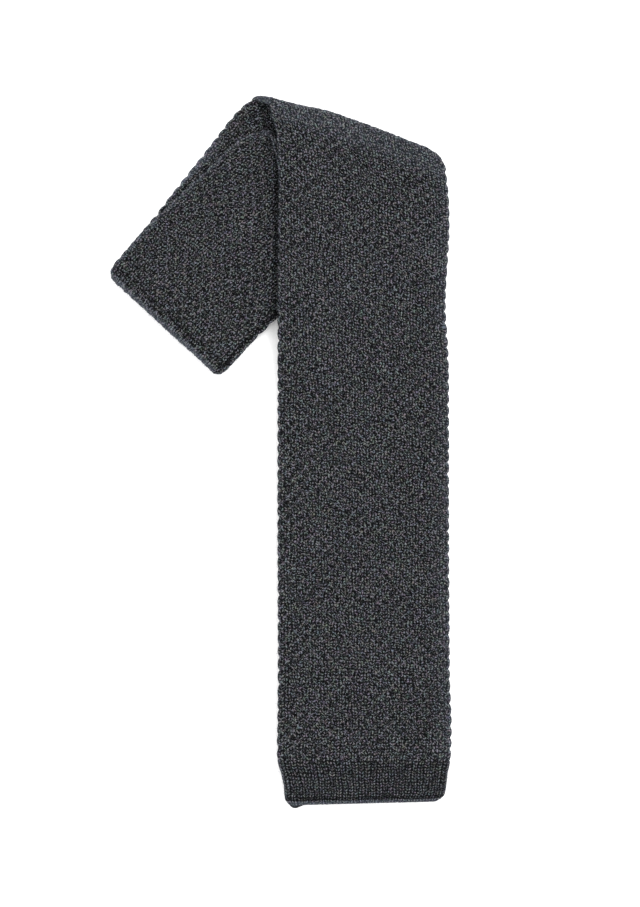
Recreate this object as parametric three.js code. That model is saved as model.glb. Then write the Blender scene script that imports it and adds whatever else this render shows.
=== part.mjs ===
// A knit tie, doubled over and folded flat: front blade on top, tail out to the left.
// One strip runs front hem, front blade, outer fold, lower tail, crease, upper tail,
// inner fold, rear blade, rear hem. Millimetres, +Z up, underside on Z = 0.
import * as THREE from "three";

// Driving sizes
const bladeWidth = 59.7; // front blade, edge to edge
const bladeLength = 233.6; // front hem's end to the outer fold, down the middle
const hemLength = 15.4; // plain knit band at each end
const hemSlant = 1.4; // the left end of a hem hangs this much lower
const rearWidth = 56.6;
const rearShortfall = 12; // the rear blade ends this much before the front one
const rearSetOver = -0.7; // the rear blade's middle, right of the front one's
const tailWidth = 54.4; // the neck, drawn narrow where it is creased
const tailLength = 88.8; // outer fold to crease, along the tail's middle
const tailSetOver = 12.9; // the tail's middle, left of the blade's, along the fold
const creaseSlant = 2.8; // degrees that the crease is off square
const outerFoldAngle = 20; // degrees that the fold slopes down to the right
const innerFoldAngle = 23.2;
const innerFoldDrop = 13.7; // inner fold under the outer one, down the middle
const plyThickness = 2.2; // the knitted tube, pressed flat
const layerGap = 0.4; // air between two layers that lie on each other
const pieceGap = 0.3; // body to hem
const edgeRound = 1.7; // how far in from its edge the knit is rounded
const endRound = 1.1; // the same at the end of a hem
const sinkLength = 24; // the blades come down beside the tail over this length
const sinkDelay = 16; // and start to this far under the inner fold
const droopLength = 11; // the front hem comes down past the rear one over this length

// Fineness of the meshes
const bladeStep = 7;
const hemStep = 2;
const tailStep = 8;
const turnSteps = 8; // facets round a fold
const endSteps = 3; // and round the end of a hem
const edgeColumns = 3;
const middleColumns = 12;
const slopeStep = 0.5; // over which a slope is measured

// Outlines, a row for each place along a run. along goes from the hem's end or the crease
// to the fold. left and right are shares of half the run's width, from its middle.
const frontOutline = [
  { along: 0, left: -0.9, right: 0.915 },
  { along: 0.012, left: -0.918, right: 0.955 },
  { along: 0.03, left: -0.93, right: 0.975 },
  { along: 0.045, left: -0.955, right: 0.985 },
  { along: 0.066, left: -1, right: 1.015 },
  { along: 0.12, left: -1, right: 1.03 },
  { along: 0.2, left: -0.995, right: 1.01 },
  { along: 0.45, left: -1, right: 1 },
  { along: 0.7, left: -0.995, right: 0.995 },
  { along: 0.79, left: -0.99, right: 0.96 },
  { along: 0.88, left: -0.985, right: 0.995 },
  { along: 0.93, left: -0.99, right: 0.995 },
  { along: 0.96, left: -1.015, right: 0.985 },
  { along: 0.98, left: -1.06, right: 0.968 },
  { along: 1, left: -1.095, right: 0.955 },
];
const rearOutline = [
  { along: 0, left: -0.93, right: 0.93 },
  { along: 0.05, left: -0.97, right: 0.97 },
  { along: 0.075, left: -1, right: 1 },
  { along: 0.5, left: -1, right: 1 },
  { along: 0.93, left: -1.01, right: 1 },
  { along: 0.97, left: -1.05, right: 0.99 },
  { along: 1, left: -1.12, right: 0.96 },
];
const lowerTailOutline = [
  { along: 0, left: -0.975, right: 0.98 },
  { along: 0.035, left: -0.985, right: 1 },
  { along: 0.3, left: -0.99, right: 1.02 },
  { along: 0.5, left: -1.01, right: 1.045 },
  { along: 0.7, left: -1.025, right: 1.08 },
  { along: 0.9, left: -1.045, right: 1.17 },
  { along: 1, left: -1.01, right: 1.22 },
];
const upperTailOutline = [
  { along: 0, left: -0.975, right: 0.98 },
  { along: 0.035, left: -0.985, right: 1 },
  { along: 0.16, left: -0.98, right: 1.02 },
  { along: 0.31, left: -0.965, right: 1.07 },
  { along: 0.45, left: -0.925, right: 1.11 },
  { along: 0.58, left: -0.885, right: 1.17 },
  { along: 0.7, left: -0.845, right: 1.24 },
  { along: 0.84, left: -0.81, right: 1.34 },
  { along: 0.93, left: -0.77, right: 1.44 },
  { along: 1, left: -0.68, right: 1.55 },
];
// How wide the outer fold's bend is, from the left edge to the right one.
// bend is a share of the way from the tightest bend to the roundest.
const outerBend = [
  { across: 0, bend: 0.02 },
  { across: 0.06, bend: 0.12 },
  { across: 0.12, bend: 0.3 },
  { across: 0.3, bend: 0.85 },
  { across: 0.42, bend: 1 },
  { across: 0.88, bend: 1 },
  { across: 0.95, bend: 0.9 },
  { across: 1, bend: 0.35 },
];

// Worked out from the sizes
const degree = Math.PI / 180;
const layerPitch = plyThickness + layerGap;
const level = (n) => plyThickness / 2 + n * layerPitch; // middle of the nth layer
const tightBend = layerPitch / 2;
const roundBend = (3 * layerPitch) / 2;
const rearLength = bladeLength - innerFoldDrop - rearShortfall;
const up = new THREE.Vector3(0, 0, 1);
const plan = (x, y) => new THREE.Vector3(x, y, 0);
const mix = (a, b, share) => a + (b - a) * share;
const mixPoints = (a, b, share) => a.clone().lerp(b, share);
const pointOn = (start, direction, far) => start.clone().addScaledVector(direction, far);
const ease = (share) => THREE.MathUtils.smoothstep(share, 0, 1);

// A column of a table read between its rows, as a smooth curve.
function readTable(rows, key, column, at) {
  const slope = (i) => {
    const a = rows[Math.max(i - 1, 0)];
    const b = rows[Math.min(i + 1, rows.length - 1)];
    return (b[column] - a[column]) / (b[key] - a[key]);
  };
  const last = rows.length - 2;
  const found = rows.findIndex((row) => row[key] > at) - 1;
  const i = found < 0 ? last : found;
  const span = rows[i + 1][key] - rows[i][key];
  const t = THREE.MathUtils.clamp((at - rows[i][key]) / span, 0, 1);
  const rise = rows[i + 1][column] - rows[i][column];
  const start = slope(i) * span;
  const end = slope(i + 1) * span;
  return (
    rows[i][column] +
    start * t +
    (3 * rise - 2 * start - end) * t * t +
    (start + end - 2 * rise) * t * t * t
  );
}

// A fold is a line across the blade: its place on the blade's middle, its direction to
// the right, and the way out over it.
function foldAt(drop, angle) {
  return {
    place: plan(0, -drop),
    right: plan(Math.cos(angle * degree), -Math.sin(angle * degree)),
    out: plan(Math.sin(angle * degree), Math.cos(angle * degree)),
  };
}
const outerFold = foldAt(0, outerFoldAngle);
const innerFold = foldAt(innerFoldDrop, innerFoldAngle);

// The blade's own direction, mirrored in the outer fold, is the tail's.
const tailUp = plan(
  Math.sin(2 * outerFoldAngle * degree),
  Math.cos(2 * outerFoldAngle * degree),
);
const tailRight = plan(tailUp.y, -tailUp.x);
const tailTop = pointOn(outerFold.place, outerFold.right, -tailSetOver);
const creasePlace = pointOn(tailTop, tailUp, -tailLength);
const creaseRight = tailRight.clone().applyAxisAngle(up, -creaseSlant * degree);
const creaseOut = plan(creaseRight.y, -creaseRight.x);

// Where a line that starts at a point meets a fold.
function meet(start, direction, fold) {
  const far = fold.place.clone().sub(start).dot(fold.out) / direction.dot(fold.out);
  return pointOn(start, direction, far);
}

// The plan place of one edge of a blade, from its hem's end to its fold.
function bladeEdge(run, side, share) {
  const half = (at) => (run.width / 2) * readTable(run.outline, "along", side, at);
  const slant = (hemSlant / 2) * (side === "left" ? -1 : 1);
  const top = meet(plan(run.middle + half(1), 0), plan(0, 1), run.fold);
  return plan(run.middle + half(share), mix(run.endY + slant, top.y, share));
}

// The same for a run of the tail, from the crease to its fold.
function tailEdge(run, side, share) {
  const half = (at) => (run.width / 2) * readTable(run.outline, "along", side, at);
  const bottom = -half(0) * Math.tan(creaseSlant * degree);
  const top = meet(pointOn(creasePlace, tailRight, half(1)), tailUp, run.fold);
  const reach = top.sub(creasePlace).dot(tailUp);
  const middle = pointOn(creasePlace, tailUp, mix(bottom, reach, share));
  return pointOn(middle, tailRight, half(share));
}

// The four runs of the strip. face is 1 where the strip's outer face looks up.
const front = {
  outline: frontOutline,
  width: bladeWidth,
  length: bladeLength,
  middle: 0,
  endY: -bladeLength,
  fold: outerFold,
  edge: bladeEdge,
  face: 1,
};
const rear = {
  outline: rearOutline,
  width: rearWidth,
  length: rearLength,
  middle: rearSetOver,
  endY: rearShortfall - bladeLength,
  fold: innerFold,
  edge: bladeEdge,
  face: -1,
};
const lowerTail = {
  outline: lowerTailOutline,
  width: tailWidth,
  length: tailLength,
  fold: outerFold,
  edge: tailEdge,
  face: -1,
};
const upperTail = {
  outline: upperTailOutline,
  width: tailWidth,
  length: tailLength,
  fold: innerFold,
  edge: tailEdge,
  face: 1,
};

// How far the blades have come down beside the tail, from 0 on it to 1 on the table.
const upperTailReach = tailEdge(upperTail, "right", 1).sub(creasePlace).dot(tailUp);
function sunk(x, y) {
  const from = plan(x, y).sub(creasePlace);
  const share = THREE.MathUtils.clamp(from.dot(tailUp) / upperTailReach, 0, 1);
  const edge = (tailWidth / 2) * readTable(upperTailOutline, "along", "right", share);
  const past = from.dot(tailRight) - edge;
  const under = -plan(x, y).sub(innerFold.place).dot(innerFold.out);
  return ease(past / sinkLength) * ease(under / sinkDelay);
}
const drooped = (y) => ease((rear.endY - y) / droopLength);
rear.height = (x, y) => mix(level(2), level(0), sunk(x, y));
front.height = (x, y) => mix(level(3), level(1), sunk(x, y)) - layerPitch * drooped(y);
lowerTail.height = () => level(0);
upperTail.height = () => level(1);

// A station is a cross section: for a share from the left edge to the right one it gives
// the middle of the knit and the direction of its face.
function flatStation(run, share) {
  const left = run.edge(run, "left", share);
  const right = run.edge(run, "right", share);
  return {
    width: left.distanceTo(right),
    at(across) {
      const point = mixPoints(left, right, across);
      point.z = run.height(point.x, point.y);
      const slopeX = (run.height(point.x + slopeStep, point.y) - point.z) / slopeStep;
      const slopeY = (run.height(point.x, point.y + slopeStep) - point.z) / slopeStep;
      const face = new THREE.Vector3(-slopeX, -slopeY, 1).normalize();
      return { point, face: face.multiplyScalar(run.face) };
    },
  };
}

// A turn round a fold or the crease: an arc, an upright stretch and an arc. It goes from
// the run before to the run after, which meet at one end of each, and out is the way that
// it bulges. outside is 1 where the strip's outer face is on the outside of the turn.
function turnStation({ before, after, meetAt, out, bendAt, outside }, share) {
  const [from, to] = [before, after].map((run) =>
    ["left", "right"].map((side) => run.edge(run, side, meetAt)),
  );
  return {
    width: from[0].distanceTo(from[1]),
    at(across) {
      const start = mixPoints(...from, across);
      const end = mixPoints(...to, across);
      start.z = before.height(start.x, start.y);
      end.z = after.height(end.x, end.y);
      const rise = Math.abs(end.z - start.z);
      const bend = Math.min(bendAt(across), rise / 2);
      const arc = (bend * Math.PI) / 2;
      const far = share * (2 * arc + rise - 2 * bend);
      const first = Math.min(far, arc) / bend;
      const second = Math.max(far - arc - (rise - 2 * bend), 0) / bend;
      const turn = first + second;
      const upright = THREE.MathUtils.clamp(far - arc, 0, rise - 2 * bend);
      const climbed = bend * (1 - Math.cos(first)) + upright + bend * Math.sin(second);
      const point = mixPoints(start, end, share);
      const way = Math.sign(end.z - start.z);
      point.z = start.z + way * climbed;
      point.addScaledVector(out, bend * Math.sin(turn));
      const face = new THREE.Vector3(0, 0, -way * Math.cos(turn));
      face.addScaledVector(out, Math.sin(turn)).multiplyScalar(outside);
      return { point, face };
    },
  };
}

// The points round one cross section: the face from left to right, then the back.
function ringOf(station, thickness) {
  const rim = edgeRound / station.width;
  const shares = [];
  for (let i = 0; i < edgeColumns; i++) {
    shares.push(rim * (1 - Math.cos((i * Math.PI) / 2 / edgeColumns)));
  }
  for (let i = 0; i <= middleColumns; i++) {
    shares.push(mix(rim, 1 - rim, i / middleColumns));
  }
  for (let i = edgeColumns - 1; i >= 0; i--) shares.push(1 - shares[i]);
  const sides = [1, -1].map((side) =>
    shares.map((share) => {
      const inward = Math.min(share, 1 - share) / rim;
      const round = inward < 1 ? Math.sqrt(1 - (1 - inward) ** 2) : 1;
      const { point, face } = station.at(share);
      return point.addScaledVector(face, (side * thickness * round) / 2);
    }),
  );
  return [...sides[0], ...sides[1].slice(1, -1).reverse()];
}

// A closed solid through rings that each have as many points.
function skin(rings) {
  const size = rings[0].length;
  const index = [];
  for (let i = 0; i + 1 < rings.length; i++) {
    for (let j = 0; j < size; j++) {
      const a = i * size + j;
      const b = i * size + ((j + 1) % size);
      index.push(a, b, b + size, a, b + size, a + size);
    }
  }
  const lastRing = (rings.length - 1) * size;
  for (let j = 0; j < size / 2; j++) {
    const near = [j, j + 1, size - j - 1, (size - j) % size];
    const triangles = [near[0], near[1], near[2], near[0], near[2], near[3]];
    for (let k = 0; k < 6; k += 3) {
      const [a, b, c] = triangles.slice(k, k + 3);
      if (a === b || b === c || a === c) continue;
      index.push(a, c, b);
      index.push(lastRing + a, lastRing + b, lastRing + c);
    }
  }
  const geometry = new THREE.BufferGeometry();
  const numbers = rings.flat().flatMap((point) => [point.x, point.y, point.z]);
  geometry.setAttribute("position", new THREE.Float32BufferAttribute(numbers, 3));
  geometry.setIndex(index);
  geometry.computeVertexNormals();
  return geometry;
}

// Rings along a run, between two shares of it.
function ringsAlong(run, from, to, step) {
  const count = Math.ceil((Math.abs(to - from) * run.length) / step);
  const rings = [];
  for (let i = 0; i <= count; i++) {
    rings.push(ringOf(flatStation(run, mix(from, to, i / count)), plyThickness));
  }
  return rings;
}

// Rings round a turn, without its first and last, which the runs already have.
function ringsRound(turn) {
  const rings = [];
  for (let i = 1; i < turnSteps; i++) {
    rings.push(ringOf(turnStation(turn, i / turnSteps), plyThickness));
  }
  return rings;
}

const outerTurn = {
  before: front,
  after: lowerTail,
  meetAt: 1,
  out: outerFold.out,
  bendAt: (across) => mix(tightBend, roundBend, readTable(outerBend, "across", "bend", across)),
  outside: 1,
};
const creaseTurn = {
  before: lowerTail,
  after: upperTail,
  meetAt: 0,
  out: creaseOut,
  bendAt: () => tightBend,
  outside: 1,
};
const innerTurn = {
  before: upperTail,
  after: rear,
  meetAt: 1,
  out: innerFold.out,
  bendAt: () => tightBend,
  outside: -1,
};

function bodyRings() {
  const hemTop = (run) => (hemLength + pieceGap / 2) / run.length;
  return [
    ...ringsAlong(front, hemTop(front), 1, bladeStep),
    ...ringsRound(outerTurn),
    ...ringsAlong(lowerTail, 1, 0, tailStep),
    ...ringsRound(creaseTurn),
    ...ringsAlong(upperTail, 0, 1, tailStep),
    ...ringsRound(innerTurn),
    ...ringsAlong(rear, 1, hemTop(rear), bladeStep),
  ];
}

// A hem: its end is rounded, and its other end faces the body.
function hemRings(run) {
  const top = (hemLength - pieceGap / 2) / run.length;
  const rings = [];
  for (let i = 1; i <= endSteps; i++) {
    const angle = (i * Math.PI) / 2 / (endSteps + 1);
    const share = (endRound * (1 - Math.cos(angle))) / run.length;
    rings.push(ringOf(flatStation(run, share), plyThickness * Math.sin(angle)));
  }
  rings.push(...ringsAlong(run, endRound / run.length, top, hemStep));
  return run.face > 0 ? rings : rings.reverse();
}

function piece(name, rings, finish) {
  const mesh = new THREE.Mesh(skin(rings), new THREE.MeshStandardMaterial(finish));
  mesh.name = name;
  return mesh;
}

const mossKnit = { color: 0x3a3b3e, roughness: 0.95, metalness: 0 };
const plainKnit = { color: 0x333538, roughness: 0.95, metalness: 0 };

const tie = new THREE.Group();
tie.add(piece("knit_tube", bodyRings(), mossKnit));
tie.add(piece("front_hem", hemRings(front), plainKnit));
tie.add(piece("rear_hem", hemRings(rear), plainKnit));

// The origin is under the middle of the whole.
const box = new THREE.Box3().setFromObject(tie);
const middle = box.getCenter(new THREE.Vector3());
tie.position.set(-middle.x, -middle.y, -box.min.z);

export default tie;
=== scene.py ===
import math

import bpy
import numpy as np
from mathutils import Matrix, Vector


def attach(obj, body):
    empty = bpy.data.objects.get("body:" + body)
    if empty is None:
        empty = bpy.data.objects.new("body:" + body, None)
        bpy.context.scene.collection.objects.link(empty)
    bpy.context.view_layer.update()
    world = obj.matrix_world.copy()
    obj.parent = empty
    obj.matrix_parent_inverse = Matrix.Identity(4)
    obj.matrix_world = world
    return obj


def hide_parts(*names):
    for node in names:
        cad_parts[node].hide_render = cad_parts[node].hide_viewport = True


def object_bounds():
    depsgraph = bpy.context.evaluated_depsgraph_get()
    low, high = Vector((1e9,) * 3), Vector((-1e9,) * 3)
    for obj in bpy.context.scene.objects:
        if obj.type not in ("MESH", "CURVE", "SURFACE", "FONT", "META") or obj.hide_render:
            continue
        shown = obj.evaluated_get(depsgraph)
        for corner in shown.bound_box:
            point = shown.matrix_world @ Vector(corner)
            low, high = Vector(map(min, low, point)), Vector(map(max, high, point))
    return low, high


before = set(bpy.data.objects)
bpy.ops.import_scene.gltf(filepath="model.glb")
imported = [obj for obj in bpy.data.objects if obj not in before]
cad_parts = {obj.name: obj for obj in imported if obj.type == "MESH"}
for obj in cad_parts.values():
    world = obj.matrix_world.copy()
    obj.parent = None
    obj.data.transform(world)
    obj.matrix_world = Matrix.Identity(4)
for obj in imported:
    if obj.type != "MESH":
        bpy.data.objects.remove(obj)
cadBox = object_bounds()
bpy.ops.object.select_all(action="DESELECT")
print("frame loaded")

# The strip, in millimetres and with the part's own names. It runs front hem, front blade,
# outer fold, lower tail, crease, upper tail, inner fold, rear blade, rear hem.
strip = {
    "bladeWidth": 59.7,
    "bladeLength": 233.6,
    "hemLength": 15.4,
    "hemSlant": 1.4,
    "rearWidth": 56.6,
    "rearShortfall": 12,
    "rearSetOver": -0.7,
    "tailWidth": 54.4,
    "tailLength": 88.8,
    "tailSetOver": 12.9,
    "creaseSlant": math.radians(2.8),
    "outerFoldAngle": math.radians(20),
    "innerFoldAngle": math.radians(23.2),
    "innerFoldDrop": 13.7,
    "plyThickness": 2.2,
    "layerGap": 0.4,
    "edgeRound": 1.7,
    "meanWidth": 58,
    "endRound": 1.1,
    "sinkLength": 24,
    "sinkDelay": 16,
    "droopLength": 11,
}
# Rows are along, left, right, as in the part. Left and right are shares of half the width.
outlines = {
    "front": [
        (0, -0.9, 0.915), (0.012, -0.918, 0.955), (0.03, -0.93, 0.975),
        (0.045, -0.955, 0.985), (0.066, -1, 1.015), (0.12, -1, 1.03), (0.2, -0.995, 1.01),
        (0.45, -1, 1), (0.7, -0.995, 0.995), (0.79, -0.99, 0.96), (0.88, -0.985, 0.995),
        (0.93, -0.99, 0.995), (0.96, -1.015, 0.985), (0.98, -1.06, 0.968), (1, -1.095, 0.955),
    ],
    "rear": [
        (0, -0.93, 0.93), (0.05, -0.97, 0.97), (0.075, -1, 1), (0.5, -1, 1),
        (0.93, -1.01, 1), (0.97, -1.05, 0.99), (1, -1.12, 0.96),
    ],
    "lowerTail": [
        (0, -0.975, 0.98), (0.035, -0.985, 1), (0.3, -0.99, 1.02), (0.5, -1.01, 1.045),
        (0.7, -1.025, 1.08), (0.9, -1.045, 1.17), (1, -1.01, 1.22),
    ],
    "upperTail": [
        (0, -0.975, 0.98), (0.035, -0.985, 1), (0.16, -0.98, 1.02), (0.31, -0.965, 1.07),
        (0.45, -0.925, 1.11), (0.58, -0.885, 1.17), (0.7, -0.845, 1.24),
        (0.84, -0.81, 1.34), (0.93, -0.77, 1.44), (1, -0.68, 1.55),
    ],
}
# how wide the outer fold bends, from the left edge to the right one
outerBend = [
    (0, 0.02), (0.06, 0.12), (0.12, 0.3), (0.3, 0.85), (0.42, 1), (0.88, 1), (0.95, 0.9), (1, 0.35),
]
# how much further out than a round bend the outer fold reaches, as a share
outerBow = [(0, 0), (0.2, 0.01), (0.42, 0.08), (0.65, 0.13), (0.85, 0.06), (1, 0)]
layerPitch = strip["plyThickness"] + strip["layerGap"]
tightBend = layerPitch / 2
roundBend = layerPitch * 1.5


def level(layer):
    return strip["plyThickness"] / 2 + layer * layerPitch


def ease(share):
    share = np.clip(share, 0, 1)
    return share * share * (3 - 2 * share)


def readTable(rows, column, at):
    # a smooth curve through one column of a table
    keys = np.array([row[0] for row in rows], float)
    values = np.array([row[column] for row in rows], float)
    last = len(rows) - 1
    before = np.maximum(np.arange(last + 1) - 1, 0)
    after = np.minimum(np.arange(last + 1) + 1, last)
    slopes = (values[after] - values[before]) / (keys[after] - keys[before])
    at = np.asarray(at, float)
    i = np.clip(np.searchsorted(keys, at, side="right") - 1, 0, last - 1)
    span = keys[i + 1] - keys[i]
    t = np.clip((at - keys[i]) / span, 0, 1)
    rise = values[i + 1] - values[i]
    start = slopes[i] * span
    end = slopes[i + 1] * span
    bend = 3 * rise - 2 * start - end
    return values[i] + start * t + bend * t**2 + (start + end - 2 * rise) * t**3


def foldAt(drop, angle):
    return {
        "place": np.array([0.0, -drop]),
        "right": np.array([math.cos(angle), -math.sin(angle)]),
        "out": np.array([math.sin(angle), math.cos(angle)]),
    }


outerFold = foldAt(0, strip["outerFoldAngle"])
innerFold = foldAt(strip["innerFoldDrop"], strip["innerFoldAngle"])
tailAngle = 2 * strip["outerFoldAngle"]
tailUp = np.array([math.sin(tailAngle), math.cos(tailAngle)])
tailRight = np.array([tailUp[1], -tailUp[0]])
tailTop = outerFold["place"] - outerFold["right"] * strip["tailSetOver"]
creasePlace = tailTop - tailUp * strip["tailLength"]
creaseTurned = math.atan2(tailRight[1], tailRight[0]) - strip["creaseSlant"]
creaseOut = np.array([math.sin(creaseTurned), -math.cos(creaseTurned)])


def meet(start, direction, fold):
    far = ((fold["place"] - start) @ fold["out"]) / (direction @ fold["out"])
    return start + direction * far


def halfWidth(run, side, share):
    return run["width"] / 2 * readTable(run["outline"], 1 if side == "left" else 2, share)


def bladeEdge(run, side, share):
    share = np.asarray(share, float)
    slant = strip["hemSlant"] / 2 * (-1 if side == "left" else 1)
    corner = np.array([run["middle"] + float(halfWidth(run, side, 1)), 0.0])
    top = meet(corner, np.array([0.0, 1.0]), run["fold"])
    x = run["middle"] + halfWidth(run, side, share)
    bottom = run["endY"] + slant
    return np.stack([x, bottom + (top[1] - bottom) * share], -1)


def tailEdge(run, side, share):
    share = np.asarray(share, float)
    bottom = -float(halfWidth(run, side, 0)) * math.tan(strip["creaseSlant"])
    top = meet(creasePlace + tailRight * float(halfWidth(run, side, 1)), tailUp, run["fold"])
    reach = (top - creasePlace) @ tailUp
    up = bottom + (reach - bottom) * share
    return creasePlace + up[..., None] * tailUp + halfWidth(run, side, share)[..., None] * tailRight


front = {
    "outline": outlines["front"], "width": strip["bladeWidth"], "middle": 0,
    "endY": -strip["bladeLength"], "fold": outerFold, "edge": bladeEdge, "face": 1,
}
rear = {
    "outline": outlines["rear"], "width": strip["rearWidth"], "middle": strip["rearSetOver"],
    "endY": strip["rearShortfall"] - strip["bladeLength"], "fold": innerFold,
    "edge": bladeEdge, "face": -1,
}
lowerTail = {
    "outline": outlines["lowerTail"], "width": strip["tailWidth"], "fold": outerFold,
    "edge": tailEdge, "face": -1,
}
upperTail = {
    "outline": outlines["upperTail"], "width": strip["tailWidth"], "fold": innerFold,
    "edge": tailEdge, "face": 1,
}
upperTailReach = (tailEdge(upperTail, "right", 1.0) - creasePlace) @ tailUp


def sunk(x, y):
    # how far the blades have come down beside the tail, from 0 to 1
    fromX = x - creasePlace[0]
    fromY = y - creasePlace[1]
    share = np.clip((fromX * tailUp[0] + fromY * tailUp[1]) / upperTailReach, 0, 1)
    edge = strip["tailWidth"] / 2 * readTable(outlines["upperTail"], 2, share)
    past = fromX * tailRight[0] + fromY * tailRight[1] - edge
    under = (innerFold["place"][0] - x) * innerFold["out"][0]
    under = under + (innerFold["place"][1] - y) * innerFold["out"][1]
    return ease(past / strip["sinkLength"]) * ease(under / strip["sinkDelay"])


def rearHeight(x, y):
    return level(2) + (level(0) - level(2)) * sunk(x, y)


def frontHeight(x, y):
    droop = ease((rear["endY"] - y) / strip["droopLength"])
    return level(3) + (level(1) - level(3)) * sunk(x, y) - layerPitch * droop


front["height"] = frontHeight
rear["height"] = rearHeight
lowerTail["height"] = lambda x, y: np.full(np.shape(x), level(0))
upperTail["height"] = lambda x, y: np.full(np.shape(x), level(1))


def layRun(run, shares, across):
    # the middle of the knit and its face, for rows along a run and columns across it
    left = run["edge"](run, "left", shares)
    right = run["edge"](run, "right", shares)
    flat = left[:, None] + (right - left)[:, None] * across[None, :, None]
    x = flat[..., 0]
    y = flat[..., 1]
    z = run["height"](x, y)
    step = 0.5
    slopeX = (run["height"](x + step, y) - z) / step
    slopeY = (run["height"](x, y + step) - z) / step
    face = np.stack([-slopeX, -slopeY, np.ones_like(z)], -1)
    face = face / np.linalg.norm(face, axis=-1, keepdims=True) * run["face"]
    sideways = (right - left) / np.linalg.norm(right - left, axis=-1, keepdims=True)
    width = np.linalg.norm(right - left, axis=-1)
    return np.stack([x, y, z], -1), face, sideways, width


def layTurn(turn, shares, across):
    # the same round a fold: an arc, an upright stretch and an arc
    ends = []
    for run in (turn["before"], turn["after"]):
        left = run["edge"](run, "left", float(turn["meetAt"]))
        right = run["edge"](run, "right", float(turn["meetAt"]))
        flat = left + (right - left) * across[:, None]
        ends.append((flat, run["height"](flat[:, 0], flat[:, 1]), left, right))
    (startFlat, startZ, left, right), (endFlat, endZ, _, _) = ends
    rise = np.abs(endZ - startZ)
    bend = np.minimum(turn["bendAt"](across), rise / 2)
    arc = bend * math.pi / 2
    share = np.asarray(shares, float)[:, None]
    far = share * (2 * arc + rise - 2 * bend)
    first = np.minimum(far, arc) / bend
    second = np.maximum(far - arc - (rise - 2 * bend), 0) / bend
    around = first + second
    upright = np.clip(far - arc, 0, rise - 2 * bend)
    climbed = bend * (1 - np.cos(first)) + upright + bend * np.sin(second)
    way = np.sign(endZ - startZ)
    flat = startFlat + (endFlat - startFlat) * share[..., None]
    reach = bend * (1 + turn["bowAt"](across)) if "bowAt" in turn else bend
    flat = flat + turn["out"] * (reach * np.sin(around))[..., None]
    place = np.concatenate([flat, (startZ + way * climbed)[..., None]], -1)
    face = np.zeros_like(place)
    face[..., :2] = turn["out"] * np.sin(around)[..., None]
    face[..., 2] = -way * np.cos(around)
    face = face * turn["outside"]
    sideways = np.repeat(((right - left) / np.linalg.norm(right - left))[None], len(share), 0)
    width = np.full(len(share), np.linalg.norm(right - left))
    return place, face, sideways, width


def outerBendAt(across):
    return tightBend + (roundBend - tightBend) * readTable(outerBend, 1, across)


def outerBowAt(across):
    return readTable(outerBow, 1, across)


def tightBendAt(across):
    return np.full(np.shape(across), tightBend)


outerTurn = {
    "before": front, "after": lowerTail, "meetAt": 1, "out": outerFold["out"],
    "bendAt": outerBendAt, "bowAt": outerBowAt, "outside": 1,
}
creaseTurn = {
    "before": lowerTail, "after": upperTail, "meetAt": 0, "out": creaseOut,
    "bendAt": tightBendAt, "outside": 1,
}
innerTurn = {
    "before": upperTail, "after": rear, "meetAt": 1, "out": innerFold["out"],
    "bendAt": tightBendAt, "outside": -1,
}

# The stitches. Across the strip there are 28 wales, and along it a course every course mm.
knit = {
    "wales": 28,
    "bladeCourse": 1.07,
    "tailCourse": 1.25,
    "hemCourse": 1.05,
    "mossDepth": 0.65,  # from the top of a purl bump to the gap between two stitches
    "plainDepth": 0.5,
    "joinDepth": 0.22,  # where the moss stitch and the hem meet
    "proud": 0.3,  # how far the highest stitches stand out, but not on what lies on the table
    "strayU": 0.16,  # how far stitches stray from their grid, in wales and courses
    "strayV": 0.3,
    "lumps": 0.14,
    "scallop": 0.5,  # how far a side edge goes in between two bumps, every four courses
    "crest": 0.3,  # how far its bumps stand out
    "scallopReach": 2.6,  # how far in from the edge both fade out
    "seed": 11,
}
lattice = np.random.default_rng(knit["seed"]).random((8, 64, 1024)) * 2 - 1


def softNoise(layer, a, b):
    # a seeded value noise, from -1 to 1
    table = lattice[layer]
    i = np.floor(a).astype(int)
    j = np.floor(b).astype(int)
    s = ease(a - i)
    t = ease(b - j)
    low = table[i % 64, j % 1024] * (1 - s) + table[(i + 1) % 64, j % 1024] * s
    high = table[i % 64, (j + 1) % 1024] * (1 - s) + table[(i + 1) % 64, (j + 1) % 1024] * s
    return low * (1 - t) + high * t


def mossHeight(u, v):
    # double moss: cells of one wale and two courses, by turns plain and purl
    purlShare = np.clip(0.5 + 1.9 * np.sin(math.pi * u) * np.sin(math.pi * v / 2), 0, 1)
    inU = u - np.floor(u)
    inV = v - np.floor(v)
    line = 0.13 + 0.2 * inV
    leg = np.sqrt(np.clip(1 - ((np.abs(inU - 0.5) - line) / 0.19) ** 2, 0, 1))
    plain = 0.6 * leg * (0.72 + 0.28 * np.sin(math.pi * inV))
    # the two purl loops of a cell curve towards each other and make a ring
    fromMiddle = np.abs(v - 2 * np.floor(v / 2) - 1)
    ring = 0.6 - 0.45 * (2 * inU - 1) ** 2
    bump = np.sqrt(np.clip(1 - ((fromMiddle - ring) / 0.36) ** 2, 0, 1))
    purl = 0.3 + 0.7 * bump
    height = plain * (1 - purlShare) + purl * purlShare
    pull = lattice[6][np.floor(u).astype(int) % 64, np.floor(v / 2).astype(int) % 1024]
    return height * (0.88 + 0.12 * pull)


def plainHeight(u, v):
    # stocking stitch: columns of two slanting legs
    inU = u - np.floor(u)
    inV = v - np.floor(v)
    line = 0.15 + 0.17 * inV
    leg = np.sqrt(np.clip(1 - ((np.abs(inU - 0.5) - line) / 0.2) ** 2, 0, 1))
    return leg * (0.7 + 0.3 * np.sin(math.pi * inV))


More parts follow.
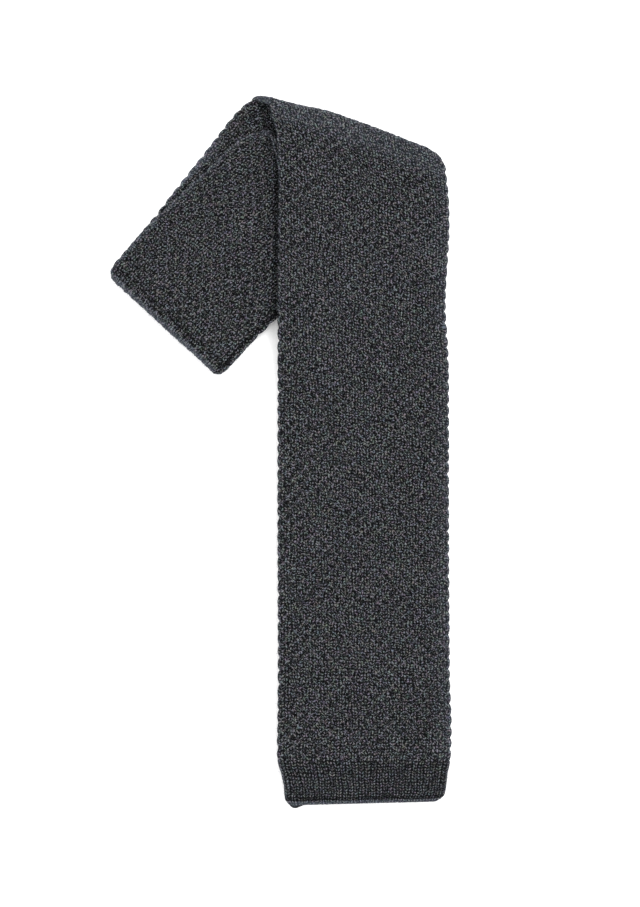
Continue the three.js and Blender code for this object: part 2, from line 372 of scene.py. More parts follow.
def roundCorner(place, corner, toSide, toEnd, radius):
    # pulls what is near a corner of the strip in to a round one, seen from above
    side = (place[..., :2] - corner) @ toSide + radius
    end = (place[..., :2] - corner) @ toEnd + radius
    a = np.clip(side / radius, 0, 1.3)
    b = np.clip(end / radius, 0, 1.3)
    pulledSide = side * (np.sqrt(1 - np.minimum(b, 1) ** 2 / 2) - 1) * (a > 0)
    pulledEnd = end * (np.sqrt(1 - np.minimum(a, 1) ** 2 / 2) - 1) * (b > 0)
    pull = pulledSide[..., None] * toSide + pulledEnd[..., None] * toEnd
    near = ((side > 0) & (end > 0))[..., None]
    place[..., :2] += np.where(near, pull, 0)


def edgedColumns(perWale, edgeColumns, rim):
    # columns that fall on the stitches, and closer ones round the side edges
    count = knit["wales"] * perWale
    middle = np.arange(count + 1) / count
    middle = middle[(middle > rim * 1.001) & (middle < 1 - rim * 1.001)]
    side = rim * (1 - np.cos(np.arange(edgeColumns + 1) * math.pi / 2 / edgeColumns))
    return np.concatenate([side, middle, 1 - side[::-1]])


def middleLength(lay, part):
    place, _, _, _ = lay(part, np.linspace(0, 1, 60), np.array([0.5]))
    return np.linalg.norm(np.diff(place[:, 0], axis=0), axis=-1).sum()


def knitPiece(name, stretches, look):
    # stretches are (lay, part, from share, to share, from course, to course)
    rim = strip["edgeRound"] / strip["meanWidth"]
    faceColumns = edgedColumns(look["perWale"], 7, rim)
    backColumns = edgedColumns(look["backPerWale"], 4, rim)
    rows = []
    for lay, part, fromShare, toShare, fromCourse, toCourse in stretches:
        count = max(int(math.ceil(abs(toCourse - fromCourse) * look["perCourse"])), 3)
        shares = np.linspace(fromShare, toShare, count + 1)
        courses = np.linspace(fromCourse, toCourse, count + 1)
        skip = 1 if rows else 0
        rows.append((lay, part, shares[skip:], courses[skip:]))
    courses = np.concatenate([row[3] for row in rows])
    endShare = look.get("endShare")
    sides = []
    for columns, outward in ((faceColumns, 1), (backColumns, -1)):
        laid = [lay(part, shares, columns) for lay, part, shares, _ in rows]
        place = np.concatenate([one[0] for one in laid])
        face = np.concatenate([one[1] for one in laid])
        sideways = np.concatenate([one[2] for one in laid])
        width = np.concatenate([one[3] for one in laid])
        u = np.broadcast_to(columns * knit["wales"], place.shape[:2]).copy()
        if outward < 0:
            u = 2 * knit["wales"] - u
        v = np.broadcast_to(courses[:, None], place.shape[:2]).copy()
        fromSide = np.minimum(columns, 1 - columns)[None] * width[:, None]
        inner = ease(fromSide / 4)
        strayedU = u + inner * knit["strayU"] * softNoise(0, u / 1.3, v / 2.1)
        strayedU = strayedU + inner * knit["strayU"] * softNoise(1, u / 4.1, v / 7.3)
        strayedV = v + knit["strayV"] * softNoise(2, u / 1.7, v / 2.7)
        strayedV = strayedV + knit["strayV"] * 1.5 * softNoise(3, u / 6.1, v / 9.7)
        inward = np.clip(fromSide / strip["edgeRound"], 0, 1)
        rounded = np.sqrt(1 - (1 - inward) ** 2)
        thick = strip["plyThickness"] / 2 * rounded
        if endShare is not None:
            thick = thick * endShare(courses)[:, None]
        relief = look["relief"](strayedU, strayedV, outward)
        lumps = knit["lumps"] * softNoise(4, u / 5.3, v / 8.1) - knit["lumps"]
        proud = knit["proud"] * np.clip(1 + 1.2 * face[..., 2] * outward, 0, 1)
        turned = np.sqrt(np.clip(1 - np.abs(face[..., 2]), 0, 1))
        offset = thick + (relief * (1 - 0.35 * turned) + proud + lumps * (outward > 0)) * ease(inward)
        offset = np.maximum(offset, 0.12 * rounded)
        place = place + face * (outward * offset)[..., None]
        # the side edges go in between the bumps of every second cell
        wave = np.abs(np.sin(math.pi * strayedV / 4))
        inwards = (1 - np.sqrt(wave)) * knit["scallop"] * look["scallop"]
        inwards = inwards * (1 + 0.5 * softNoise(5, u / 9, v / 3.1))
        inwards = inwards - look.get("crest", 1) * knit["crest"]
        inwards = inwards * ease(1 - fromSide / knit["scallopReach"])
        toMiddle = np.where(columns < 0.5, 1.0, -1.0)[None] * inwards
        place[..., :2] += sideways[:, None] * toMiddle[..., None]
        for corner in look.get("corners", ()):
            roundCorner(place, *corner)
        if outward < 0 and "peek" in look:
            place[..., 1] -= look["peek"](place)
        # painted light: the side edges and the folds are painted lighter, where fibres catch the
        # light, and a look's own function adds more painted highlight and painted shade
        paintedLight = np.clip(1 - fromSide / 1.5, 0, 1) ** 2
        paintedLight = np.maximum(paintedLight, 1 - np.abs(face[..., 2]))
        if "endPaintedLight" in look:
            paintedLight = paintedLight + look["endPaintedLight"](courses)[:, None]
        if "shade" in look:
            paintedLight = look["shade"](paintedLight, place, columns[None], fromSide, courses[:, None])
        sides.append((place, strayedU, strayedV, paintedLight))
    return joinSides(name, sides)


def joinSides(name, sides):
    # a closed skin round the face and the back, with the stitch numbers as its UV map and the painted
    # light and shade as a point attribute
    (face, faceU, faceV, facePaintedLight), (back, backU, backV, backPaintedLight) = sides
    ring = np.concatenate([face, back[:, -2:0:-1]], 1)
    paintedLight = np.concatenate([facePaintedLight, backPaintedLight[:, -2:0:-1]], 1)
    ringU = np.concatenate([faceU, backU[:, -2:0:-1], backU[:, :1]], 1)
    ringV = np.concatenate([faceV, backV[:, -2:0:-1], backV[:, :1]], 1)
    rowCount, size = ring.shape[:2]
    i, j = np.meshgrid(np.arange(rowCount - 1), np.arange(size), indexing="ij")
    following = (j + 1) % size
    quads = np.stack([i * size + j, i * size + following,
                      (i + 1) * size + following, (i + 1) * size + j], -1).reshape(-1, 4)
    cornerI = np.stack([i, i, i + 1, i + 1], -1).reshape(-1, 4)
    cornerJ = np.stack([j, j + 1, j + 1, j], -1).reshape(-1, 4)
    first = list(range(size))[::-1]
    last = [(rowCount - 1) * size + k for k in range(size)]
    mesh = bpy.data.meshes.new(name)
    places = (ring.reshape(-1, 3) + stripShift) * 0.001
    mesh.from_pydata(places.tolist(), [], quads.tolist() + [first, last])
    layer = mesh.uv_layers.new(name="stitch")
    u = ringU[cornerI, cornerJ].reshape(-1)
    v = ringV[cornerI, cornerJ].reshape(-1)
    capU = np.concatenate([ringU[0, :size][::-1], ringU[-1, :size]])
    capV = np.concatenate([ringV[0, :size][::-1], ringV[-1, :size]])
    spots = np.stack([np.concatenate([u, capU]), np.concatenate([v, capV])], -1)
    layer.data.foreach_set("uv", spots.astype(np.float32).reshape(-1))
    light = mesh.attributes.new("paintedLight", "FLOAT", "POINT")
    light.data.foreach_set("value", paintedLight.astype(np.float32).reshape(-1))
    mesh.validate()
    mesh.update()
    piece = bpy.data.objects.new(name, mesh)
    bpy.context.scene.collection.objects.link(piece)
    bpy.ops.object.select_all(action="DESELECT")
    piece.select_set(True)
    bpy.context.view_layer.objects.active = piece
    bpy.ops.object.shade_smooth_by_angle(angle=math.radians(80))
    piece.select_set(False)
    return piece


def stripBox():
    # the box of the strip as laid here, still about its own origin
    corners = []
    columns = np.linspace(0, 1, 41)
    for lay, part in laidParts:
        place, face, _, width = lay(part, np.linspace(0, 1, 80), columns)
        inward = np.clip(np.minimum(columns, 1 - columns)[None] * width[:, None]
                         / strip["edgeRound"], 0, 1)
        thick = strip["plyThickness"] / 2 * np.sqrt(1 - (1 - inward) ** 2)
        for side in (-1, 1):
            corners.append((place + face * (side * thick)[..., None]).reshape(-1, 3))
    corners = np.concatenate(corners)
    return corners.min(0), corners.max(0)


laidParts = [(layRun, front), (layTurn, outerTurn), (layRun, lowerTail), (layTurn, creaseTurn),
             (layRun, upperTail), (layTurn, innerTurn), (layRun, rear)]
low, high = stripBox()
# the tail's left corner, the front hem and the floor are where the part has them
stripShift = np.array(list(cadBox[0])) * 1000 - low
print("strip laid out, box", (high - low).round(2), "cad", [(b - a) * 1000 for a, b in zip(*cadBox)])

# Where each stretch of the strip starts and ends, in courses from the front hem.
lengths = {name: middleLength(lay, part) for name, (lay, part) in zip(
    ("front", "outerTurn", "lowerTail", "creaseTurn", "upperTail", "innerTurn", "rear"),
    laidParts)}
hemShare = strip["hemLength"] / lengths["front"]
rearHemShare = strip["hemLength"] / lengths["rear"]
hemCourses = strip["hemLength"] / knit["hemCourse"]
marks = [0.0]
for stretch, pitch in (
    (lengths["front"] - strip["hemLength"], knit["bladeCourse"]),
    (lengths["outerTurn"], knit["bladeCourse"]),
    (lengths["lowerTail"], knit["tailCourse"]),
    (lengths["creaseTurn"], knit["tailCourse"]),
    (lengths["upperTail"], knit["tailCourse"]),
    (lengths["innerTurn"], knit["bladeCourse"]),
    (lengths["rear"] - strip["hemLength"], knit["bladeCourse"]),
):
    marks.append(marks[-1] + stretch / pitch)
print("stitches counted, courses", [round(m) for m in marks])


def mossRelief(u, v, outward):
    near = ease(np.minimum(np.abs(v), np.abs(marks[-1] - v)) / 0.8)
    return -knit["mossDepth"] * (1 - mossHeight(u, v)) * near - knit["joinDepth"] * (1 - near)


def plainRelief(u, v, outward):
    far = np.where(v > marks[-1] / 2, v - marks[-1], -v)  # courses from the join with the moss
    near = ease(far / 0.8)
    flat = -knit["plainDepth"] * (1 - plainHeight(u, v)) * near - knit["joinDepth"] * (1 - near)
    # a dark groove over the linked edge at the very end
    groove = np.clip(1 - np.abs(far - (hemCourses - 2)) / 0.8, 0, 1)
    return flat - 0.4 * groove


def hemPaintedLight(courses):
    # painted highlight on the linked edge, over painted shade in the groove below it
    far = np.where(courses > marks[-1] / 2, courses - marks[-1], -courses)
    edge = ease((far - (hemCourses - 1.5)) / 0.5)
    groove = np.clip(1 - np.abs(far - (hemCourses - 2.1)) / 0.9, 0, 1)
    return 1.5 * edge - 1.3 * groove


def hemEnd(courses):
    far = np.where(courses > marks[-1] / 2, courses - marks[-1], -courses)
    left = np.clip((hemCourses - far) * knit["hemCourse"] / strip["endRound"], 0.04, 1)
    return np.sqrt(1 - (1 - left) ** 2)


# corners: their place, the way to the strip's side, the way to its end, and the radius
creaseRight = np.array([math.cos(creaseTurned), math.sin(creaseTurned)])


def tailCorner(side):
    edge = tailEdge(upperTail, side, 0.0)
    return edge + creaseOut * (tightBend + strip["plyThickness"] / 2)


def hemCorners(run, radius):
    left = run["edge"](run, "left", 0.0)
    right = run["edge"](run, "right", 0.0)
    down = np.array([0.0, -1.0])
    across = np.array([1.0, 0.0])
    return [(left, -across, down, radius), (right, across, down, radius)]


def besideRidge(place):
    # how far a point of the tail lies outside the upper tail's left edge, in mm
    far = place[..., :2] - creasePlace
    share = np.clip(far @ tailUp / upperTailReach, 0, 1)
    return strip["tailWidth"] / 2 * readTable(outlines["upperTail"], 1, share) - far @ tailRight


def paintedBladeShadow(place):
    # painted shadow: the tail is darker in a narrow band beside the front blade's left edge, where
    # the blade's shade falls
    return 0.6 * np.exp(-((place[..., 0] + strip["bladeWidth"] / 2 + 0.8) / 1.6) ** 2)


def lowerTailPaintedLight(paintedLight, place, columns, fromSide, courses):
    # painted shadow beside the upper tail's edge and beside the front blade, and painted highlight
    # along the folds and on the lower tail's band away from the top
    beside = besideRidge(place)
    shadow = np.exp(-(beside / 1.8) ** 2) * ease(beside / 0.3)
    nearTop = ease((place[..., 1] + 9) / 14)
    reach = ease((place[..., 1] + 75) / 50) * (0.5 + 0.5 * nearTop)
    pale = 1.1 * (1 - nearTop) * ease(beside / 2)
    over = 0.5 * ease(1 - (courses - marks[1]) / 8)
    onTail = courses > marks[2]
    paintedShade = 0.8 * shadow * reach + paintedBladeShadow(place)
    return np.maximum(1.25 * paintedLight, over) + (pale - paintedShade) * onTail


def upperTailPaintedLight(paintedLight, place, columns, fromSide, courses):
    # painted highlight on a ridge at the left and round the crease, and painted shade in a line
    # inside the rounded right edge, inside the crease and beside the front blade
    ridge = np.exp(-((fromSide - 0.8) / 0.7) ** 2) * (columns < 0.5)
    inside = np.exp(-((fromSide - 1.6) / 0.75) ** 2) * (columns > 0.5)
    crease = np.clip(1 - np.abs(courses - marks[4] - 1.5) / 2, 0, 1)
    rolled = 2.4 * np.clip(paintedLight, 0, 1) ** 0.4 * (courses < marks[4])
    paintedLight = paintedLight * np.where(courses > marks[5], 0.4, 1)
    paintedShade = 2 * inside + 0.7 * crease + paintedBladeShadow(place)
    return np.maximum(paintedLight, rolled) + 0.4 * ridge - paintedShade


def frontPaintedLight(paintedLight, place, columns, fromSide, courses):
    # painted highlight where it rolls over at the top, along its side edges and towards its right
    # edge
    over = ease(1 - (marks[1] - courses) / 7)
    onSide = np.where(columns < 0.5, 0.6, 0.8)
    glow = 0.35 * np.clip(1 - fromSide / 7, 0, 1) * (columns > 0.5)
    return np.maximum(paintedLight * onSide, 0.5 * over) + glow


tailCorners = [
    (tailCorner("left"), -creaseRight, creaseOut, 3.5),
    (tailCorner("right"), creaseRight, creaseOut, 2.5),
]
lowerTailLook = {
    "perWale": 4, "backPerWale": 5, "perCourse": 3, "relief": mossRelief,
    "scallop": 2.0, "corners": tailCorners, "shade": lowerTailPaintedLight,
}
bladeLook = {
    "perWale": 6, "backPerWale": 1, "perCourse": 2, "relief": mossRelief,
    "scallop": 1.6, "crest": 1.4, "shade": frontPaintedLight,
}
tailLook = {
    "perWale": 6, "backPerWale": 1, "perCourse": 3, "relief": mossRelief,
    "scallop": 1.5, "corners": tailCorners, "shade": upperTailPaintedLight,
}
underLook = {
    "perWale": 4, "backPerWale": 1, "perCourse": 2, "relief": mossRelief,
    "scallop": 1,
}
hemLook = {
    "perWale": 6, "backPerWale": 4, "perCourse": 4, "relief": plainRelief,
    "scallop": 0.2, "endShare": hemEnd, "endPaintedLight": hemPaintedLight,
    "corners": hemCorners(front, 2.4),
}


def backPlyCorner(place):
    # the hem's back ply shows at the front hem's left corner, a little lower than its face
    corner = front["edge"](front, "left", 0.0)
    across = np.exp(-((place[..., 0] - corner[0] - 2.9) / 2.1) ** 2)
    return 1.1 * across * ease(1 - (place[..., 1] - corner[1]) / 5)


rearHemLook = dict(hemLook, corners=hemCorners(rear, 2.4))
hemLook["peek"] = backPlyCorner
frontBlade = knitPiece("front_blade", [
    (layRun, front, hemShare, 1, marks[0], marks[1]),
], bladeLook)
print("front blade knitted")
lowerTailPiece = knitPiece("outer_fold_and_lower_tail", [
    (layTurn, outerTurn, 0, 1, marks[1], marks[2]),
    (layRun, lowerTail, 1, 0, marks[2], marks[3]),
], lowerTailLook)
print("outer fold and lower tail knitted")
upperTailPiece = knitPiece("crease_and_upper_tail", [
    (layTurn, creaseTurn, 0, 1, marks[3], marks[4]),
    (layRun, upperTail, 0, 1, marks[4], marks[5]),
    (layTurn, innerTurn, 0, 1, marks[5], marks[6]),
], tailLook)
print("crease and upper tail knitted")
rearBlade = knitPiece("rear_blade", [
    (layRun, rear, 1, rearHemShare, marks[6], marks[7]),
], underLook)
print("rear blade knitted")
frontHem = knitPiece("front_hem_knit", [
    (layRun, front, 0.0, hemShare, marks[0] - hemCourses, marks[0]),
], hemLook)
rearHem = knitPiece("rear_hem_knit", [
    (layRun, rear, rearHemShare, 0.0, marks[7], marks[7] + hemCourses),
], rearHemLook)
print("hems knitted")

fuzz = {
    "count": 8000,
    "shortest": 0.6,  # mm
    "longest": 2.0,
    "radius": 0.019,
    "curl": 0.5,
    "onEdges": 5.0,  # how much thicker the fuzz is where a fold or an edge turns
}


def looseFibres(name, pieces):
    # short curved fibres that stand off the wool, each a thin three-sided tube
    chance = np.random.default_rng(knit["seed"] + 1)
    centres = []
    normals = []
    weights = []
    for piece in pieces:
        mesh = piece.data
        count = len(mesh.polygons)
        centre = np.zeros(count * 3)
        normal = np.zeros(count * 3)
        area = np.zeros(count)
        mesh.polygons.foreach_get("center", centre)
        mesh.polygons.foreach_get("normal", normal)
        mesh.polygons.foreach_get("area", area)
        shine = np.zeros(len(mesh.vertices))
        mesh.attributes["paintedLight"].data.foreach_get("value", shine)
        first = np.array([face.vertices[0] for face in mesh.polygons])
        corners = np.array([len(face.vertices) for face in mesh.polygons])
        normal = normal.reshape(-1, 3)
        weight = area * (1 + fuzz["onEdges"] * np.clip(shine[first], 0, 1))
        centres.append(centre.reshape(-1, 3) * 1000)
        normals.append(normal)
        weights.append(weight * (corners == 4) * (normal[:, 2] > -0.5))
    centres = np.concatenate(centres)
    normals = np.concatenate(normals)
    weights = np.concatenate(weights)
    picked = chance.choice(len(weights), fuzz["count"], p=weights / weights.sum())
    start = centres[picked]
    normal = normals[picked]
    side = chance.normal(size=start.shape)
    side = side - normal * (side * normal).sum(-1, keepdims=True)
    side = side / np.linalg.norm(side, axis=-1, keepdims=True)
    lean = chance.uniform(0.1, 0.6, (len(start), 1))
    way = normal * lean + side * (1 - lean)
    curl = chance.normal(size=start.shape) * fuzz["curl"]
    step = chance.uniform(fuzz["shortest"], fuzz["longest"], (len(start), 1)) / 3
    points = [start - normal * 0.05]
    for turn in range(3):
        bent = way + curl * turn
        points.append(points[-1] + bent / np.linalg.norm(bent, axis=-1, keepdims=True) * step)
    points = np.stack(points, 1)
    points[..., 2] = np.maximum(points[..., 2], 0.06)
    third = np.cross(way, side + normal)
    third = third / np.linalg.norm(third, axis=-1, keepdims=True)
    second = np.cross(way, third)
    second = second / np.linalg.norm(second, axis=-1, keepdims=True)
    rings = []
    for k in range(3):
        angle = k * 2 * math.pi / 3
        roundFibre = second * math.cos(angle) + third * math.sin(angle)
        thin = np.array([1, 1, 0.85, 0.4])[None, :, None]
        rings.append(points + roundFibre[:, None] * fuzz["radius"] * thin)
    places = np.stack(rings, 2).reshape(-1, 3) * 0.001
    base = np.arange(len(start))[:, None] * 12
    faces = []
    for ring in range(3):
        for k in range(3):
            a = ring * 3 + k
            b = ring * 3 + (k + 1) % 3
            faces += (base + np.array([a, b, b + 3, a + 3])).tolist()
    faces += (base + np.array([2, 1, 0])).tolist()
    faces += (base + np.array([9, 10, 11])).tolist()
    mesh = bpy.data.meshes.new(name)
    mesh.from_pydata(places.tolist(), [], faces)
    mesh.validate()
    mesh.update()
    piece = bpy.data.objects.new(name, mesh)
    bpy.context.scene.collection.objects.link(piece)
    return piece


fibres = looseFibres("loose_fibres", (frontBlade, lowerTailPiece, upperTailPiece, rearBlade,
                                      frontHem, rearHem))
print("loose fibres added")


def mathNode(tree, operation, first, second=None, third=None, clamp=False):
    node = tree.nodes.new("ShaderNodeMath")
    node.operation = operation
    node.use_clamp = clamp
    for socket, value in zip(node.inputs, (first, second, third)):
        if value is None:
            continue
        if isinstance(value, (int, float)):
            socket.default_value = value
        else:
            tree.links.new(value, socket)
    return node.outputs[0]


def noiseNode(tree, vector, scale, detail, roughness=0.5):
    node = tree.nodes.new("ShaderNodeTexNoise")
    node.inputs["Scale"].default_value = scale
    node.inputs["Detail"].default_value = detail
    node.inputs["Roughness"].default_value = roughness
    tree.links.new(vector, node.inputs["Vector"])
    return node.outputs["Fac"]


def rampNode(tree, factor, stops):
    node = tree.nodes.new("ShaderNodeValToRGB")
    ramp = node.color_ramp
    ramp.elements[0].position = stops[0][0]
    ramp.elements[0].color = (*stops[0][1], 1)
    ramp.elements[1].position = stops[-1][0]
    ramp.elements[1].color = (*stops[-1][1], 1)
    for position, colour in stops[1:-1]:
        ramp.elements.new(position).color = (*colour, 1)
    tree.links.new(factor, node.inputs["Fac"])
    return node.outputs["Color"]


def woolMaterial(name, wool):
    material = bpy.data.materials.new(name)
    material.use_nodes = True
    tree = material.node_tree
    shader = tree.nodes["Principled BSDF"]
    uvMap = tree.nodes.new("ShaderNodeUVMap")
    uvMap.uv_map = "stitch"
    place = tree.nodes.new("ShaderNodeTexCoord").outputs["Object"]
    parts = tree.nodes.new("ShaderNodeSeparateXYZ")
    tree.links.new(uvMap.outputs["UV"], parts.inputs[0])
    u = parts.outputs["X"]
    v = parts.outputs["Y"]
    stray = noiseNode(tree, place, wool["strayScale"], 1)
    strayed = mathNode(tree, "SUBTRACT", stray, 0.5)
    u = mathNode(tree, "MULTIPLY_ADD", strayed, wool["stray"], u)
    v = mathNode(tree, "MULTIPLY_ADD", strayed, -1.6 * wool["stray"], v)
    # every stitch is two slanting legs, a half wale wide and a course high, and each leg
    # has its own place, slant and shade
    legs = tree.nodes.new("ShaderNodeCombineXYZ")
    doubled = mathNode(tree, "MULTIPLY", u, 2)
    tree.links.new(mathNode(tree, "FLOOR", doubled), legs.inputs[0])
    tree.links.new(mathNode(tree, "FLOOR", v), legs.inputs[1])
    chance = tree.nodes.new("ShaderNodeTexWhiteNoise")
    chance.noise_dimensions = "2D"
    tree.links.new(legs.outputs[0], chance.inputs["Vector"])
    chances = tree.nodes.new("ShaderNodeSeparateColor")
    tree.links.new(chance.outputs["Color"], chances.inputs[0])
    moved = [mathNode(tree, "SUBTRACT", chances.outputs[k], 0.5) for k in range(3)]
    across = mathNode(tree, "SUBTRACT", mathNode(tree, "FRACT", doubled), 0.5)
    across = mathNode(tree, "MULTIPLY_ADD", moved[0], wool["legStray"], across)
    along = mathNode(tree, "SUBTRACT", mathNode(tree, "FRACT", v), 0.5)
    along = mathNode(tree, "MULTIPLY_ADD", moved[1], wool["legStray"], along)
    leftLeg = mathNode(tree, "LESS_THAN", mathNode(tree, "FRACT", u), 0.5)
    slant = mathNode(tree, "MULTIPLY_ADD", leftLeg, 2 * wool["slant"], -wool["slant"])
    slant = mathNode(tree, "MULTIPLY_ADD", moved[2], wool["slantStray"], slant)
    purlShare = None
    if wool["moss"]:
        waveU = mathNode(tree, "SINE", mathNode(tree, "MULTIPLY", u, math.pi))
        waveV = mathNode(tree, "SINE", mathNode(tree, "MULTIPLY", v, math.pi / 2))
        wave = mathNode(tree, "MULTIPLY", waveU, waveV)
        purlShare = mathNode(tree, "MULTIPLY_ADD", wave, 1.9, 0.5, clamp=True)
        # in a purl cell they slant the other way and bend into a ring
        turned = mathNode(tree, "SINE", mathNode(tree, "MULTIPLY", v, math.pi))
        slantPurl = mathNode(tree, "MULTIPLY", slant, mathNode(tree, "MULTIPLY", turned, -1.8))
        mix = tree.nodes.new("ShaderNodeMix")
        tree.links.new(purlShare, mix.inputs[0])
        tree.links.new(slant, mix.inputs[2])
        tree.links.new(slantPurl, mix.inputs[3])
        slant = mix.outputs[0]
    shifted = mathNode(tree, "MULTIPLY_ADD", along, slant, across)
    acrossOff = mathNode(tree, "DIVIDE", shifted, 0.4)
    alongOff = mathNode(tree, "DIVIDE", along, 0.56)
    off = mathNode(tree, "ADD", mathNode(tree, "MULTIPLY", acrossOff, acrossOff),
                   mathNode(tree, "MULTIPLY", alongOff, alongOff))
    height = mathNode(tree, "SUBTRACT", 1, off, clamp=True)
    ownShade = mathNode(tree, "SUBTRACT", chance.outputs["Value"], 0.5)
    ownShade = mathNode(tree, "MULTIPLY_ADD", ownShade, wool["legs"], 1)
    height = mathNode(tree, "MULTIPLY", height, ownShade)
    if not wool["moss"]:
        # painted shade: a dark line in the groove between the wales, which also deepens the bump
        # there
        fromWale = mathNode(tree, "ABSOLUTE", mathNode(tree, "SUBTRACT",
                                                       mathNode(tree, "FRACT", u), 0.5))
        waleLine = mathNode(tree, "MULTIPLY_ADD", fromWale, 5, -1.75, clamp=True)
        height = mathNode(tree, "MULTIPLY_ADD", waleLine, -wool["waleLine"], height)
    # short slanting strokes, where the plies of the yarn come to the top
    strokes = tree.nodes.new("ShaderNodeCombineXYZ")
    strokeAcross = mathNode(tree, "MULTIPLY_ADD", v, 1.05, mathNode(tree, "MULTIPLY", u, 2.1))
    strokeAlong = mathNode(tree, "MULTIPLY_ADD", v, -0.55, mathNode(tree, "MULTIPLY", u, 1.1))
    tree.links.new(strokeAcross, strokes.inputs[0])
    tree.links.new(strokeAlong, strokes.inputs[1])
    stroke = noiseNode(tree, strokes.outputs[0], wool["strokeScale"], 1, 0.6)
    strands = noiseNode(tree, place, wool["strandScale"], 2, 0.6)
    clouds = noiseNode(tree, place, wool["cloudScale"], 3, 0.5)
    tone = mathNode(tree, "MULTIPLY_ADD", stroke, wool["strokes"], -0.5 * wool["strokes"])
    tone = mathNode(tree, "MULTIPLY_ADD", strands, wool["strands"],
                    mathNode(tree, "SUBTRACT", tone, 0.5 * wool["strands"]))
    tone = mathNode(tree, "MULTIPLY_ADD", clouds, wool["clouds"],
                    mathNode(tree, "SUBTRACT", tone, 0.5 * wool["clouds"]))
    # painted shade: the tone follows the stitch height, so the gaps between the legs are painted
    # darker
    tone = mathNode(tree, "MULTIPLY_ADD", height, wool["stitches"], tone)
    if purlShare:
        # painted highlight: the raised purl bumps are painted lighter and the plain cells darker,
        # here more and there less
        patches = noiseNode(tree, place, 160, 1)
        raisedCell = mathNode(tree, "MULTIPLY", mathNode(tree, "SUBTRACT", purlShare, 0.5),
                              mathNode(tree, "MULTIPLY_ADD", patches, 3, -0.8, clamp=True))
        tone = mathNode(tree, "MULTIPLY_ADD", raisedCell, wool["purlPaintedLight"], tone)
    tone = mathNode(tree, "ADD", tone, wool["lift"])
    # painted light and shade from the pieces' attribute lighten or darken the tone, and the painted
    # highlight mixes in a pale blue
    paintedLight = tree.nodes.new("ShaderNodeAttribute")
    paintedLight.attribute_name = "paintedLight"
    tone = mathNode(tree, "MULTIPLY_ADD", paintedLight.outputs["Fac"], wool["paintedLightTone"], tone)
    yarn = rampNode(tree, tone, wool["tones"])
    # heather yarn has a few fibres of other colours
    fleck = tree.nodes.new("ShaderNodeTexNoise")
    fleck.inputs["Scale"].default_value = wool["fleckScale"]
    fleck.inputs["Detail"].default_value = 2
    tree.links.new(place, fleck.inputs["Vector"])
    tint = tree.nodes.new("ShaderNodeVectorMath")
    tint.operation = "MULTIPLY_ADD"
    tint.inputs[1].default_value = [wool["flecks"]] * 3
    tint.inputs[2].default_value = [1 - wool["flecks"] / 2] * 3
    tree.links.new(fleck.outputs["Color"], tint.inputs[0])
    flecked = tree.nodes.new("ShaderNodeVectorMath")
    flecked.operation = "MULTIPLY"
    tree.links.new(yarn, flecked.inputs[0])
    tree.links.new(tint.outputs[0], flecked.inputs[1])
    edged = tree.nodes.new("ShaderNodeMix")
    edged.data_type = "RGBA"
    edged.inputs[7].default_value = (*wool["paintedHighlightColour"], 1)
    paintedHighlightShare = mathNode(tree, "MULTIPLY", paintedLight.outputs["Fac"], wool["paintedHighlightShare"], clamp=True)
    tree.links.new(paintedHighlightShare, edged.inputs["Factor"])
    tree.links.new(flecked.outputs[0], edged.inputs[6])
    tree.links.new(edged.outputs[2], shader.inputs["Base Color"])
    raised = mathNode(tree, "MULTIPLY_ADD", stroke, 0.8, height)
    raised = mathNode(tree, "MULTIPLY_ADD", strands, 0.3, raised)
    bumpNode = tree.nodes.new("ShaderNodeBump")
    bumpNode.inputs["Strength"].default_value = 1
    bumpNode.inputs["Distance"].default_value = wool["bump"]
    tree.links.new(raised, bumpNode.inputs["Height"])
    tree.links.new(bumpNode.outputs["Normal"], shader.inputs["Normal"])
    rough = mathNode(tree, "MULTIPLY_ADD", strands, 0.15, 0.82)
    tree.links.new(rough, shader.inputs["Roughness"])
    shader.inputs["Specular IOR Level"].default_value = 0.04
    shader.inputs["Sheen Weight"].default_value = wool["sheen"]
    shader.inputs["Sheen Roughness"].default_value = 0.4
    shader.inputs["Sheen Tint"].default_value = (*wool["sheenTint"], 1)
    return material


charcoalTones = [
    (0, (0.0014, 0.0015, 0.0018)), (0.25, (0.0086, 0.0089, 0.0099)), (0.5, (0.0248, 0.0258, 0.0284)),
    (0.75, (0.057, 0.0593, 0.0645)), (1, (0.128, 0.132, 0.143)),
]
# What the two wools share. Scales are for a metre, and strays are in stitches.
sharedWool = {
    "strayScale": 500,
    "strokeScale": 1.8,
    "strandScale": 2450,
    "cloudScale": 80,
    "fleckScale": 700,
    "slant": 0.6,
    "legs": 0.4,
    "flecks": 0.75,
    "paintedLightTone": 0.2,
    "paintedHighlightShare": 0.14,
    "paintedHighlightColour": (0.07, 0.086, 0.118),
    "tones": charcoalTones,
    "bump": 0.0003,
    "sheen": 0.04,
    "sheenTint": (0.8, 0.88, 1),
}
mossWool = woolMaterial("charcoalMossWool", {
    **sharedWool,
    "moss": True,
    "stray": 0.28,
    "legStray": 0.46,
    "slantStray": 1.1,
    "stitches": 0.9,
    "purlPaintedLight": 0.3,
    "strokes": 0.55,
    "strands": 5.0,
    "clouds": 0.14,
    "lift": -0.045,
})
plainWool = woolMaterial("charcoalPlainWool", {
    **sharedWool,
    "moss": False,
    "stray": 0.12,
    "legStray": 0.22,
    "slantStray": 0.7,
    "waleLine": 0.45,
    "stitches": 0.76,
    "strokes": 0.8,
    "strands": 3.6,
    "clouds": 0.12,
    "lift": -0.01,
})


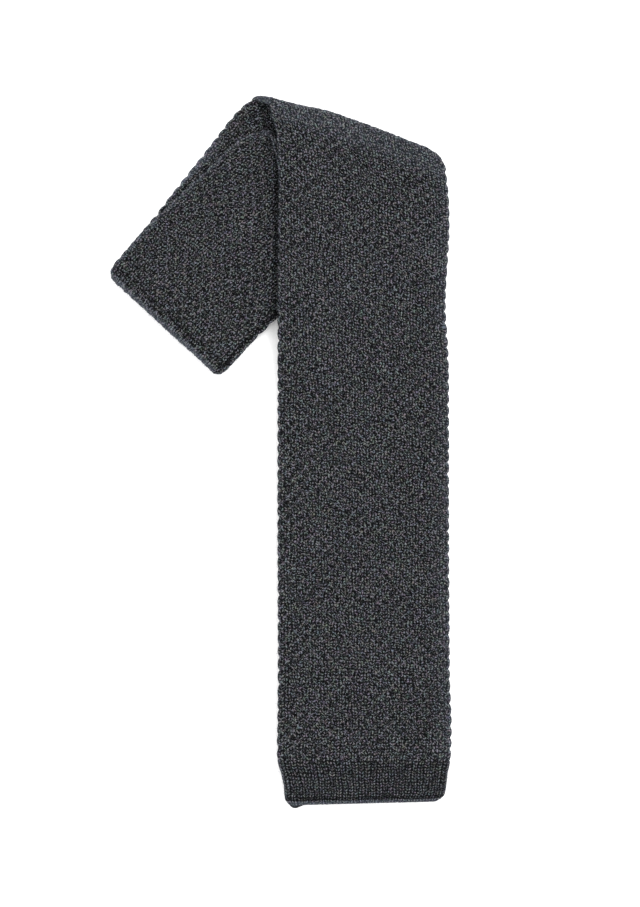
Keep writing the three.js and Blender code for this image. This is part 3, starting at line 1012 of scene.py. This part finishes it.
def fibreMaterial(name, look):
    material = bpy.data.materials.new(name)
    material.use_nodes = True
    tree = material.node_tree
    shader = tree.nodes["Principled BSDF"]
    place = tree.nodes.new("ShaderNodeTexCoord").outputs["Object"]
    tone = noiseNode(tree, place, look["scale"], 2)
    colour = rampNode(tree, tone, look["tones"])
    tree.links.new(colour, shader.inputs["Base Color"])
    rough = mathNode(tree, "MULTIPLY_ADD", tone, 0.3, 0.6)
    tree.links.new(rough, shader.inputs["Roughness"])
    shader.inputs["Specular IOR Level"].default_value = 0.1
    return material


fibreWool = fibreMaterial("looseWoolFibres", {
    "scale": 300,
    "tones": [(0.3, (0.02, 0.022, 0.028)), (0.5, (0.06, 0.066, 0.08)), (0.7, (0.14, 0.15, 0.175))],
})
print("wool coloured")

bodyPieces = (frontBlade, lowerTailPiece, upperTailPiece, rearBlade)
for piece in bodyPieces:
    piece.data.materials.append(mossWool)
    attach(piece, "root")
    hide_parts("knit_tube")
fibres.data.materials.append(fibreWool)
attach(fibres, "root")
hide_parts("knit_tube", "front_hem", "rear_hem")
for piece, node in ((frontHem, "front_hem"), (rearHem, "rear_hem")):
    piece.data.materials.append(plainWool)
    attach(piece, "root")
    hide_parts(node)
print("triangles", {p.name: sum(len(f.vertices) - 2 for f in p.data.polygons)
                    for p in (*bodyPieces, frontHem, rearHem, fibres)})
# Floor, light and camera.
studio = {
    "floorSize": 4.0,
    "floorHeight": -0.0001,
    "floorTone": (0.97, 0.97, 0.97),
    "skyStrength": 1.7,
    "keyPower": 24.0,
    "keySize": 0.7,
    "keyPlace": (0.75, 0.9, 1.5),
    "cameraAim": (0.0141, -0.0009, 0.005),
    "cameraHeight": 0.8844,
    "lens": 100,
}
bpy.ops.mesh.primitive_plane_add(size=studio["floorSize"], location=(0, 0, studio["floorHeight"]))
floor = bpy.context.object
floor.name = "floor"
floor.data.transform(floor.matrix_world)
floor.matrix_world.identity()
floorMaterial = bpy.data.materials.new("paleFloor")
floorMaterial.use_nodes = True
floorShader = floorMaterial.node_tree.nodes["Principled BSDF"]
floorShader.inputs["Base Color"].default_value = (*studio["floorTone"], 1)
floorShader.inputs["Roughness"].default_value = 0.9
floorShader.inputs["Specular IOR Level"].default_value = 0.1
floor.data.materials.append(floorMaterial)

world = bpy.data.worlds.new("softStudio")
world.use_nodes = True
sky = world.node_tree.nodes["Background"]
sky.inputs["Color"].default_value = (1, 1, 1, 1)
sky.inputs["Strength"].default_value = studio["skyStrength"]
bpy.context.scene.world = world

key = bpy.data.lights.new("keyLight", "AREA")
key.shape = "SQUARE"
key.size = studio["keySize"]
key.energy = studio["keyPower"]
keyLight = bpy.data.objects.new("keyLight", key)
keyLight.location = studio["keyPlace"]
aim = Vector((0, 0, 0)) - keyLight.location
keyLight.rotation_euler = aim.to_track_quat("-Z", "Y").to_euler()
bpy.context.scene.collection.objects.link(keyLight)

lens = bpy.data.cameras.new("camera")
lens.lens = studio["lens"]
lens.sensor_width = 36
lens.clip_start = 0.01
lens.clip_end = 20
camera = bpy.data.objects.new("camera", lens)
camera.location = (studio["cameraAim"][0], studio["cameraAim"][1],
                   studio["cameraAim"][2] + studio["cameraHeight"])
bpy.context.scene.collection.objects.link(camera)
bpy.context.scene.camera = camera
bpy.context.scene.view_settings.view_transform = "Standard"
print("studio set")
